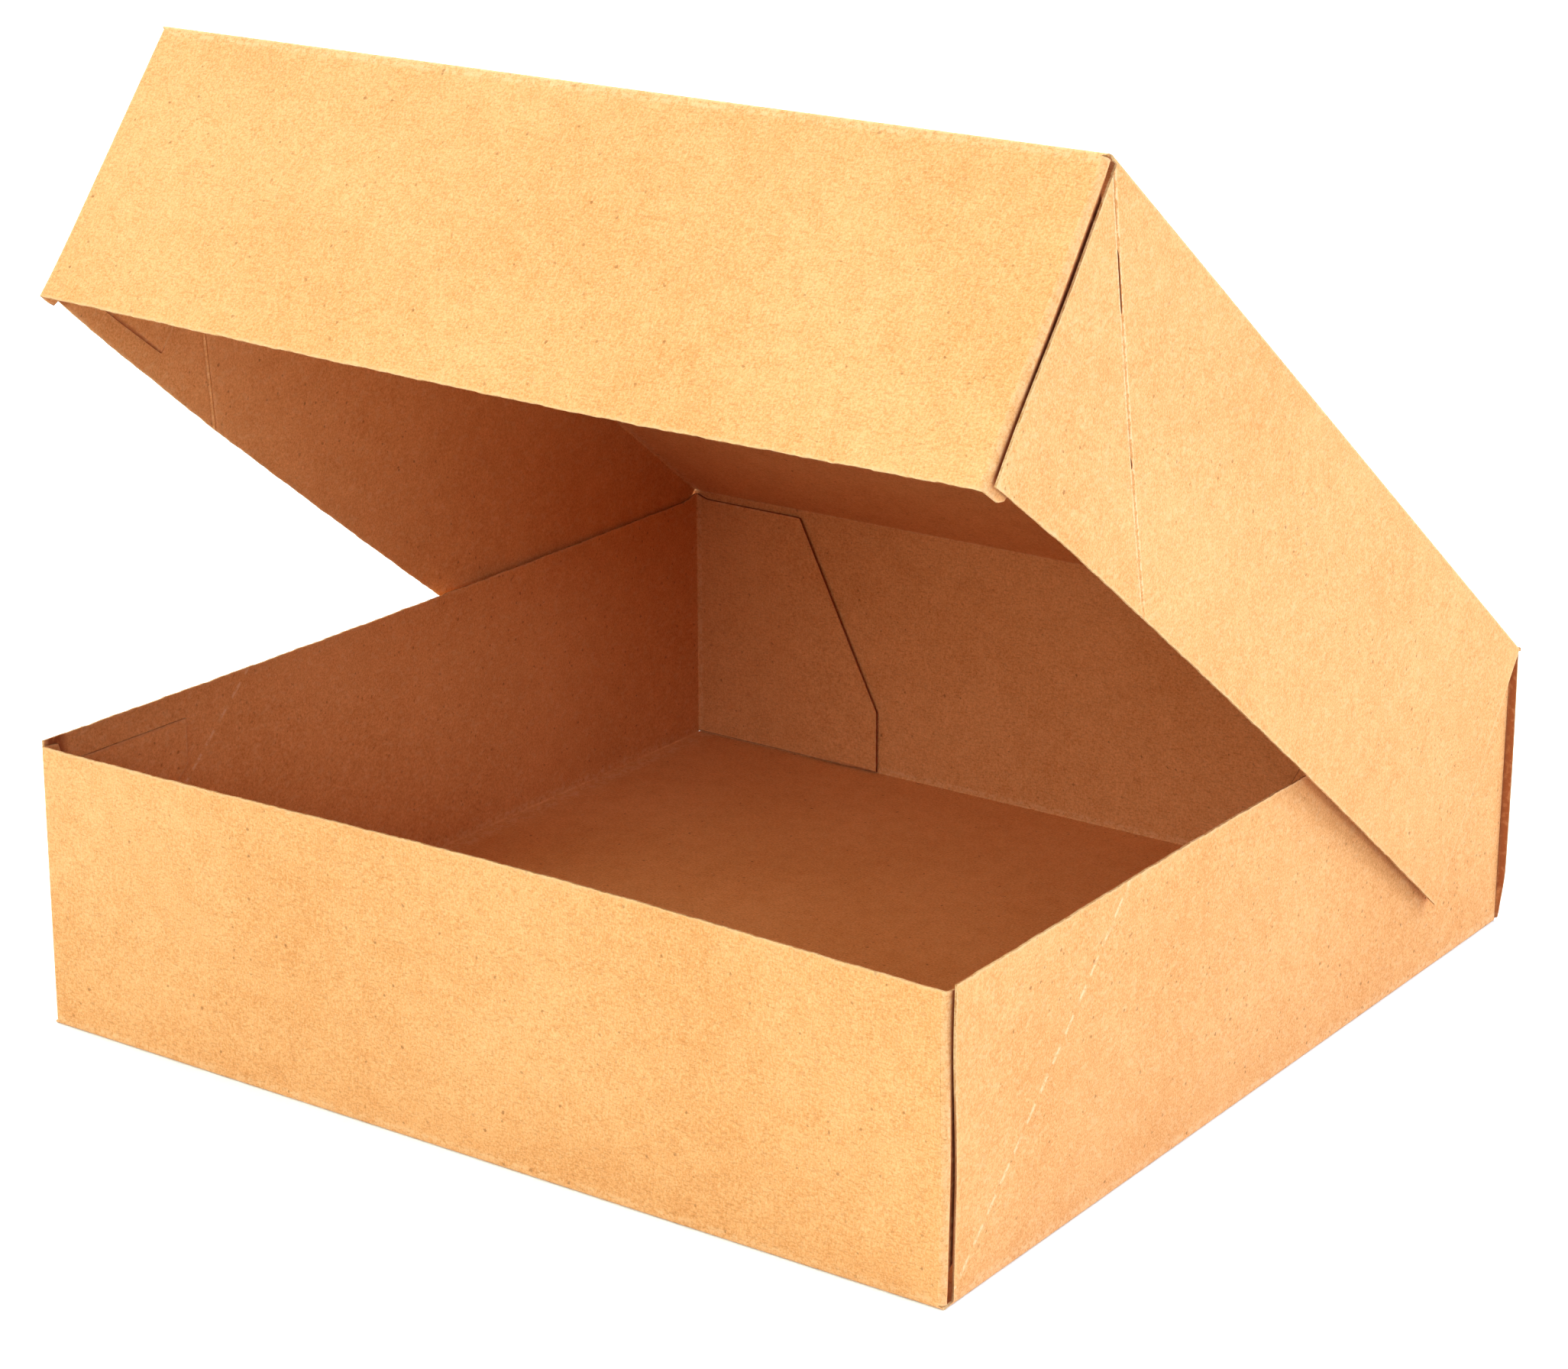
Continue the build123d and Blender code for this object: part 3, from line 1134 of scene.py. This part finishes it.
class NodeSheet:
    """Short hand for adding and joining shader nodes in one tree."""

    def __init__(self, tree: bpy.types.NodeTree) -> None:
        """Keeps the tree that the nodes go into."""
        self.tree = tree

    def add(self, kind: str, settings: dict | None = None, **inputs: object) -> bpy.types.Node:
        """Adds a node.

        Args:
            kind: The node's type name.
            settings: Properties of the node itself.
            inputs: Values or sockets for its inputs, with underscores for spaces.

        Returns:
            The node.
        """
        node = self.tree.nodes.new(kind)
        for key, value in (settings or {}).items():
            setattr(node, key, value)
        self.put(node, **inputs)
        return node

    def feed(self, socket: bpy.types.NodeSocket, value: object) -> None:
        """Sets an input socket to a value, or joins it to another socket."""
        if isinstance(value, bpy.types.NodeSocket):
            self.tree.links.new(value, socket)
        else:
            socket.default_value = value

    def put(self, node: bpy.types.Node, **inputs: object) -> None:
        """Feeds a node's inputs by name, with underscores for spaces."""
        for name, value in inputs.items():
            self.feed(node.inputs[name.replace("_", " ")], value)

    def math(self, operation: str, first: object, second: object = 0.0) -> bpy.types.NodeSocket:
        """Adds a Math node and gives its result."""
        node = self.add("ShaderNodeMath", {"operation": operation})
        self.feed(node.inputs[0], first)
        self.feed(node.inputs[1], second)
        return node.outputs[0]

    def plus(self, first: object, second: object) -> bpy.types.NodeSocket:
        """Adds two values."""
        return self.math("ADD", first, second)

    def minus(self, first: object, second: object) -> bpy.types.NodeSocket:
        """Takes the second value from the first."""
        return self.math("SUBTRACT", first, second)

    def apart(self, first: object, second: object) -> bpy.types.NodeSocket:
        """How far two values lie apart."""
        return self.math("ABSOLUTE", self.minus(first, second))

    def times(self, first: object, *others: object) -> bpy.types.NodeSocket:
        """Multiplies values."""
        for other in others:
            first = self.math("MULTIPLY", first, other)
        return first

    def ramp(
        self, value: object, low: object, high: object, to_low: object = 0.0, to_high: object = 1.0
    ) -> bpy.types.NodeSocket:
        """Adds a smooth Map Range and gives its result."""
        node = self.add("ShaderNodeMapRange", {"interpolation_type": "SMOOTHSTEP"}, Value=value)
        self.put(node, From_Min=low, From_Max=high, To_Min=to_low, To_Max=to_high)
        return node.outputs["Result"]

    def noise(
        self, vector: object, scale: object, detail: float = 0.0, roughness: float = 0.5
    ) -> bpy.types.NodeSocket:
        """Adds a noise texture and gives its value."""
        node = self.add("ShaderNodeTexNoise", {"noise_dimensions": "3D"}, Vector=vector)
        self.put(node, Scale=scale, Detail=detail, Roughness=roughness)
        return node.outputs["Fac"]

    def attribute(self, name: str) -> bpy.types.NodeSocket:
        """Adds a mesh attribute's value."""
        return self.add("ShaderNodeAttribute", {"attribute_name": name}).outputs["Fac"]

    def mixed(self, share: object, first: object, second: object) -> bpy.types.NodeSocket:
        """Adds a colour Mix and gives its result."""
        node = self.add("ShaderNodeMix", {"data_type": "RGBA"})
        sockets = {socket.identifier: socket for socket in node.inputs}
        for name, value in (("Factor_Float", share), ("A_Color", first), ("B_Color", second)):
            self.feed(sockets[name], value)
        return next(o for o in node.outputs if o.identifier == "Result_Color")

    def group(self, tree: bpy.types.NodeTree, **inputs: object) -> dict[str, bpy.types.NodeSocket]:
        """Places a node group with its own values and gives its outputs by name."""
        node = self.add("ShaderNodeGroup", {"node_tree": tree}, **inputs)
        return {socket.name: socket for socket in node.outputs}


def new_group(
    name: str, inputs: dict[str, float | None], outputs: Sequence[str]
) -> tuple[NodeSheet, dict[str, bpy.types.NodeSocket], bpy.types.Node]:
    """Starts a shader node group whose outputs are all single values.

    Args:
        name: The group's name.
        inputs: Starting value of each input, or None for a vector.
        outputs: Name of each output.

    Returns:
        The group's node sheet, its given sockets by name and its output node.
    """
    tree = bpy.data.node_groups.new(name, "ShaderNodeTree")
    for label, value in inputs.items():
        kind = "NodeSocketVector" if value is None else "NodeSocketFloat"
        socket = tree.interface.new_socket(label, in_out="INPUT", socket_type=kind)
        if value is not None:
            socket.default_value = value
    for label in outputs:
        tree.interface.new_socket(label, in_out="OUTPUT", socket_type="NodeSocketFloat")
    sheet = NodeSheet(tree)
    given = {socket.name: socket for socket in sheet.add("NodeGroupInput").outputs}
    return sheet, given, sheet.add("NodeGroupOutput")


class BoardEffects:
    """Node groups that every face of the board uses."""

    def __init__(self) -> None:
        """Builds each group once."""
        self.formation = self._formation()
        self.specks = self._specks()
        self.fibres = self._fibres()
        self.wear_and_shade = self._wear_and_shade()
        self.diagonal = self._diagonal()

    @staticmethod
    def _formation() -> bpy.types.NodeTree:
        """Uneven spread of the pulp: four sizes of noise added about a half.

        Tone = 0.5 + grain * (fine - 0.5) + mottle * (small - 0.5) + cloud * (middle - 0.5)
        + drift * (broad - 0.5). Uneven = fine + 1.6 * small - 0.8, for ragged outlines.
        """
        amounts = {"Grain": 0.3, "Mottle": 0.3, "Cloud": 0.2, "Drift": 0.1}
        sheet, given, out = new_group(
            "pulp_formation", {"Vector": None, **amounts}, ("Tone", "Fine", "Uneven")
        )
        place = given["Vector"]
        fine, small = sheet.noise(place, 2.1, 1.0, 0.7), sheet.noise(place, 0.8)
        middle, broad = sheet.noise(place, 0.2), sheet.noise(place, 0.028)
        tone = 0.5
        for value, amount in zip((fine, small, middle, broad), amounts):
            tone = sheet.plus(tone, sheet.times(sheet.minus(value, 0.5), given[amount]))
        uneven = sheet.minus(sheet.plus(fine, sheet.times(small, 1.6)), 0.8)
        sheet.put(out, Tone=tone, Fine=fine, Uneven=uneven)
        return sheet.tree

    @staticmethod
    def _specks() -> bpy.types.NodeTree:
        """Small dark bits of bark: round cells whose random value is high enough.

        A cell shows where the distance to its point is under Size, softened by noise.
        """
        sheet, given, out = new_group(
            "bark_specks",
            {"Vector": None, "Uneven": 0.5, "Scale": 0.42, "Density": 0.3, "Size": 0.25},
            ("Mask",),
        )
        cells = sheet.add("ShaderNodeTexVoronoi", {"feature": "F1"}, Vector=given["Vector"])
        sheet.put(cells, Scale=given["Scale"], Randomness=1.0)
        value = sheet.add("ShaderNodeSeparateColor", Color=cells.outputs["Color"]).outputs["Red"]
        chosen = sheet.ramp(value, sheet.minus(1.0, given["Density"]), 1.02)
        distance = sheet.plus(cells.outputs["Distance"], sheet.times(given["Uneven"], 0.16))
        near = sheet.ramp(distance, given["Size"], sheet.times(given["Size"], 0.45))
        sheet.put(out, Mask=sheet.times(near, chosen))
        return sheet.tree

    @staticmethod
    def _fibres() -> bpy.types.NodeTree:
        """Long fibres: noise stretched eightfold one way, and again across it."""
        sheet, given, out = new_group("paper_fibres", {"Vector": None}, ("Light", "Dark"))
        turns = {"Light": (0.5, (5.0, 0.6, 0.9)), "Dark": (-0.7, (0.7, 5.0, 4.4))}
        for name, (turn, squeeze) in turns.items():
            mapping = sheet.add("ShaderNodeMapping", Vector=given["Vector"], Scale=squeeze)
            sheet.put(mapping, Rotation=(turn, 0.3, turn))
            streaks = sheet.noise(mapping.outputs["Vector"], 1.0)
            sheet.put(out, **{name: sheet.ramp(streaks, 0.56, 0.74)})
        return sheet.tree

    @staticmethod
    def _wear_and_shade() -> bpy.types.NodeTree:
        """Pale broken fibres on folds and beside cut edges, and painted shade in slots, slits and
        gaps.

        Fold is the fold value times noise. Crease is a bell curve of the fold value about
        0.42, so it draws a line on each side of a fold. Fray fades over Fray Width from a
        cut edge. Stain is the painted shade attribute, a little uneven: shade painted
        where slots, slits and gaps lie in shadow.
        """
        sheet, given, out = new_group(
            "fold_edge_wear_and_painted_shade",
            {"Uneven": 0.5, "Fray Width": 0.6},
            ("Fold", "Crease", "Fray", "Stain"),
        )
        uneven, fold = given["Uneven"], sheet.attribute("fold")
        line = sheet.ramp(sheet.apart(fold, 0.42), 0.26, 0.0)
        wander = sheet.times(sheet.minus(uneven, 0.5), 0.9)
        margin = sheet.plus(sheet.attribute("margin"), wander)
        patchy = sheet.ramp(uneven, 0.1, 0.5, 0.7, 1.0)
        sheet.put(
            out,
            Fold=sheet.times(fold, sheet.ramp(uneven, 0.25, 0.7, 0.35, 1.0)),
            Crease=sheet.times(line, sheet.ramp(uneven, 0.35, 0.6)),
            Fray=sheet.ramp(margin, given["Fray Width"], 0.0),
            Stain=sheet.times(sheet.attribute("glue"), patchy),
        )
        return sheet.tree

    @staticmethod
    def _diagonal() -> bpy.types.NodeTree:
        """Marks of the diagonal line, from the length along it and the distance off it.

        Dash is a band of Half Width about the line, broken into strokes of a Pitch. Rails
        is a pair of thin lines, each Rail Distance from it, up to Reach. Core is the line.
        """
        sheet, given, out = new_group(
            "diagonal_line",
            {"Uneven": 0.5, "Pitch": 6.3, "Half Width": 0.62, "Rail Distance": 0.6, "Reach": 90.0},
            ("Dash", "Rails", "Core"),
        )
        uneven, half, reach = given["Uneven"], given["Half Width"], given["Reach"]
        line = sheet.add("ShaderNodeUVMap", {"uv_map": "score"}).outputs["UV"]
        split = sheet.add("ShaderNodeSeparateXYZ", Vector=line).outputs
        broken = sheet.ramp(uneven, 0.3, 0.5, 0.3, 1.0)
        jitter = sheet.times(sheet.minus(uneven, 0.5), 0.5)
        off = sheet.plus(sheet.math("ABSOLUTE", split["Y"]), jitter)
        beat = sheet.math("FRACT", sheet.math("DIVIDE", split["X"], given["Pitch"]))
        stroke = sheet.times(sheet.ramp(beat, 0.14, 0.22), sheet.ramp(beat, 0.88, 0.80))
        band = sheet.ramp(off, half, sheet.times(half, 0.4))
        thin = sheet.ramp(sheet.apart(off, given["Rail Distance"]), 0.3, 0.08)
        near = sheet.ramp(split["X"], reach, sheet.minus(reach, 4.0))
        faint = sheet.minus(1.0, sheet.times(sheet.attribute("inner"), 0.75))
        sheet.put(
            out,
            Dash=sheet.times(stroke, band, broken),
            Rails=sheet.times(thin, broken, near, faint),
            Core=sheet.ramp(off, 0.3, 0.1),
        )
        return sheet.tree


class DiagonalLine(Enum):
    """How a diagonal line is weakened: cut in dashes, or pressed and slit."""

    DASHED = "dashed"
    PRESSED = "pressed"


class BoardMaterial:
    """A matt material with its node sheet, its shader and places in millimetres."""

    def __init__(self, name: str, roughness: float, shine: float) -> None:
        """Starts the material; a pattern's scale is its count in a millimetre."""
        self.made = bpy.data.materials.new(name)
        self.made.use_nodes = True
        self.sheet = NodeSheet(self.made.node_tree)
        self.shader = self.made.node_tree.nodes["Principled BSDF"]
        self.sheet.put(self.shader, Roughness=roughness, Specular_IOR_Level=shine)
        coordinates = self.sheet.add("ShaderNodeTexCoord").outputs["Object"]
        scaled = self.sheet.add("ShaderNodeMapping", Vector=coordinates, Scale=(1 / MM,) * 3)
        self.place = scaled.outputs["Vector"]

    def finish(self, colour: object, height: object, relief: float) -> bpy.types.Material:
        """Feeds the colour and the relief, and gives the material."""
        bump = self.sheet.add("ShaderNodeBump", Strength=relief, Distance=0.0003, Height=height)
        self.sheet.put(self.shader, Base_Color=colour, Normal=bump.outputs["Normal"])
        return self.made


@dataclass(frozen=True)
class KraftFace:
    """Finish of the board's two faces: brown kraft liner, matt and flecked."""

    name: str
    line: DiagonalLine
    dark: Colour = (0.64, 0.248, 0.064, 1.0)
    light: Colour = (0.95, 0.502, 0.230, 1.0)
    pale: Colour = (0.90, 0.61, 0.37, 1.0)
    bark: Colour = (0.34, 0.115, 0.03, 1.0)
    # painted shade colour, for slots, slits and gaps in shadow
    glue: Colour = (0.40, 0.11, 0.035, 1.0)
    roughness: float = 0.86
    shine: float = 0.22
    grain: float = 1.15
    mottle: float = 0.16
    cloud: float = 0.2
    drift: float = 0.24
    relief: float = 0.12

    def build(self, effects: BoardEffects) -> bpy.types.Material:
        """Makes the material from the node groups that the board's materials share."""
        material = BoardMaterial(self.name, self.roughness, self.shine)
        sheet, place = material.sheet, material.place
        formation = sheet.group(
            effects.formation,
            Vector=place,
            Grain=self.grain,
            Mottle=self.mottle,
            Cloud=self.cloud,
            Drift=self.drift,
        )
        uneven = formation["Uneven"]
        specks = sheet.group(effects.specks, Vector=place, Uneven=uneven, Density=0.6)
        fibres = sheet.group(effects.fibres, Vector=place)
        wear_and_shade = sheet.group(effects.wear_and_shade, Uneven=uneven, Fray_Width=0.6)
        diagonal = sheet.group(effects.diagonal, Uneven=uneven)
        marks = [(diagonal["Dash"], 0.6, self.pale)]
        if self.line is DiagonalLine.PRESSED:
            marks = [(diagonal["Rails"], 0.6, self.pale), (diagonal["Core"], 0.12, self.bark)]
        colour = sheet.mixed(formation["Tone"], self.dark, self.light)
        for mask, amount, layer in (
            (fibres["Light"], 0.15, self.pale),
            (fibres["Dark"], 0.18, self.bark),
            (specks["Mask"], 0.60, self.bark),
            (wear_and_shade["Fold"], 0.24, self.pale),
            (wear_and_shade["Crease"], 0.20, self.pale),
            (wear_and_shade["Fray"], 0.28, self.pale),
            *marks,
            # painted shade, mixed in where the board lies in shadow
            (wear_and_shade["Stain"], 0.95, self.glue),
        ):
            colour = sheet.mixed(sheet.times(mask, amount), colour, layer)
        return material.finish(colour, formation["Fine"], self.relief)


@dataclass(frozen=True)
class CutEdge:
    """Finish of the board's cut edges: open, matt fibres."""

    name: str = "cut_board_edge"
    colour: Colour = (0.74, 0.46, 0.24, 1.0)
    dark: Colour = (0.52, 0.24, 0.085, 1.0)
    # painted shade colour, for slit rims and slots in shadow
    glue: Colour = (0.34, 0.10, 0.03, 1.0)
    roughness: float = 0.95
    shine: float = 0.1
    relief: float = 0.3

    def build(self, effects: BoardEffects) -> bpy.types.Material:
        """Makes the material from the node groups that the board's materials share."""
        material = BoardMaterial(self.name, self.roughness, self.shine)
        sheet = material.sheet
        formation = sheet.group(
            effects.formation, Vector=material.place, Grain=1.6, Mottle=1.2, Cloud=0.8, Drift=0.2
        )
        wear_and_shade = sheet.group(effects.wear_and_shade, Uneven=formation["Uneven"])
        colour = sheet.mixed(formation["Tone"], self.dark, self.colour)
        # painted shade on the cut edges of slits and slots
        colour = sheet.mixed(sheet.times(wear_and_shade["Stain"], 0.95), colour, self.glue)
        return material.finish(colour, formation["Fine"], self.relief)


def direction(azimuth: float, elevation: float) -> Vector:
    """Unit vector (sin a cos e, -cos a cos e, sin e), with both angles in degrees.

    Azimuth runs round from the front of the box towards its right, elevation up from the
    table.
    """
    around, up = math.radians(azimuth), math.radians(elevation)
    level = math.cos(up)
    return Vector((math.sin(around) * level, -math.cos(around) * level, math.sin(up)))


@dataclass(frozen=True)
class SoftLight:
    """A broad studio light far enough away to come from one direction.

    Attributes:
        name: Name of the lamp.
        azimuth: Degrees round from the front of the box towards its right.
        elevation: Degrees up from the table.
        spread: Degrees that the light spans, as seen from the box.
        light: Strength in red, green and blue.
    """

    name: str
    azimuth: float
    elevation: float
    spread: float
    light: tuple[float, float, float]

    def build(self) -> None:
        """Makes the lamp."""
        lamp = bpy.data.lights.new(self.name, "SUN")
        lamp.angle = math.radians(self.spread)
        lamp.energy = max(self.light)
        lamp.color = [value / lamp.energy for value in self.light]
        lamp.cycles.use_multiple_importance_sampling = False
        made = bpy.data.objects.new(self.name, lamp)
        bpy.context.scene.collection.objects.link(made)
        towards = direction(self.azimuth, self.elevation)
        made.rotation_euler = towards.to_track_quat("Z", "Y").to_euler()


@dataclass
class Studio:
    """Pale table, soft white light and the camera."""

    lamps: tuple[SoftLight, ...] = (
        SoftLight("left_screen", -100, 50, 50, (2.04, 2.48, 2.92)),
        SoftLight("low_front_screen", -10, 22, 50, (1.09, 1.32, 1.34)),
        SoftLight("left_front_screen", -55, 50, 50, (1.29, 1.57, 1.34)),
        SoftLight("low_rear_right_screen", 130, 22, 50, (1.09, 1.32, 1.55)),
        SoftLight("rear_right_screen", 130, 50, 50, (1.36, 1.65, 1.95)),
        SoftLight("rear_screen", 180, 50, 50, (1.17, 1.41, 1.67)),
        SoftLight("front_fill", 28, 27, 18, (0.37, 0.45, 0.53)),
        SoftLight("right_fill", 72, 12, 18, (0.44, 0.54, 0.64)),
    )
    view_gamma: float = 0.85
    table_half: float = 6.0
    table_glow: float = 0.1
    table_shades: tuple[Colour, Colour] = ((0.86, 0.87, 0.865, 1), (0.88, 0.885, 0.88, 1))
    focal_pixels: float = 5124.98
    image_width: int = 2053
    azimuth: float = 35.063
    elevation: float = 18.554
    roll: float = 0.079
    camera_place: tuple[float, float, float] = (463.305, -667.647, 340.533)

    def table(self) -> None:
        """Makes the pale table top that the box stands on, glowing a little as a light table."""
        edge = self.table_half
        mesh = bpy.data.meshes.new("table_top")
        corners = [(-edge, -edge, 0.0), (edge, -edge, 0.0), (edge, edge, 0.0), (-edge, edge, 0.0)]
        mesh.from_pydata(corners, [], [(0, 1, 2, 3)])
        material = bpy.data.materials.new("pale_table")
        material.use_nodes = True
        sheet = NodeSheet(material.node_tree)
        shader = material.node_tree.nodes["Principled BSDF"]
        place = sheet.add("ShaderNodeTexCoord").outputs["Object"]
        shade = sheet.mixed(sheet.noise(place, 2.0), *self.table_shades)
        sheet.put(shader, Base_Color=shade, Roughness=1.0, Specular_IOR_Level=0.0)
        sheet.put(shader, Emission_Color=(1.0, 1.0, 1.0, 1.0), Emission_Strength=self.table_glow)
        mesh.materials.append(material)
        made = bpy.data.objects.new("table_top", mesh)
        bpy.context.scene.collection.objects.link(made)

    def light(self) -> None:
        """Makes the lamps, and white surroundings that are seen but give no light."""
        world = bpy.data.worlds.new("white_studio")
        bpy.context.scene.world = world
        world.use_nodes = True
        world.cycles.sampling_method = "NONE"
        sheet = NodeSheet(world.node_tree)
        seen = sheet.add("ShaderNodeLightPath").outputs["Is Camera Ray"]
        background = world.node_tree.nodes["Background"]
        sheet.put(background, Color=(1.0, 1.0, 1.0, 1.0), Strength=seen)
        for lamp in self.lamps:
            lamp.build()

    def camera(self) -> None:
        """Places the camera where the photograph was taken from.

        Its axes come from azimuth, elevation and roll: back points from the box to the
        camera, right is the level direction across it, and both turn by the roll.
        """
        back, roll = direction(self.azimuth, self.elevation), math.radians(self.roll)
        right = (-back).cross(Vector((0, 0, 1))).normalized()
        up = right.cross(-back)
        level = right * math.cos(roll) + up * math.sin(roll)
        upright = up * math.cos(roll) - right * math.sin(roll)
        view = Matrix((level, upright, back)).transposed().to_4x4()
        view.translation = Vector(self.camera_place) * MM
        lens = bpy.data.cameras.new("camera")
        lens.sensor_width = 36.0
        lens.lens = self.focal_pixels / self.image_width * lens.sensor_width
        lens.clip_end = 100.0
        made = bpy.data.objects.new("camera", lens)
        bpy.context.scene.collection.objects.link(made)
        made.matrix_world = view
        bpy.context.scene.camera = made

    def build(self) -> None:
        """Makes the whole studio."""
        self.table()
        self.light()
        self.camera()
        view = bpy.context.scene.view_settings
        view.view_transform = "Standard"
        view.look = "None"
        view.gamma = self.view_gamma


def main() -> None:
    """Builds the box and its studio, and reports each piece."""
    logging.basicConfig(level=logging.INFO, format="%(name)s %(message)s")
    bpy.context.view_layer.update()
    sizes = BoxSizes()
    effects = BoardEffects()
    edge = CutEdge().build(effects)
    tray_finish = (KraftFace("kraft_tray_face", DiagonalLine.DASHED).build(effects), edge)
    lid_finish = (KraftFace("kraft_lid_face", DiagonalLine.PRESSED).build(effects), edge)
    lid = Lid(sizes)
    Tray(sizes).build(tray_finish)
    lid.build(lid_finish)
    LidCrease(sizes, lid).build(tray_finish)
    Studio().build()


if __name__ == "__main__":
    main()
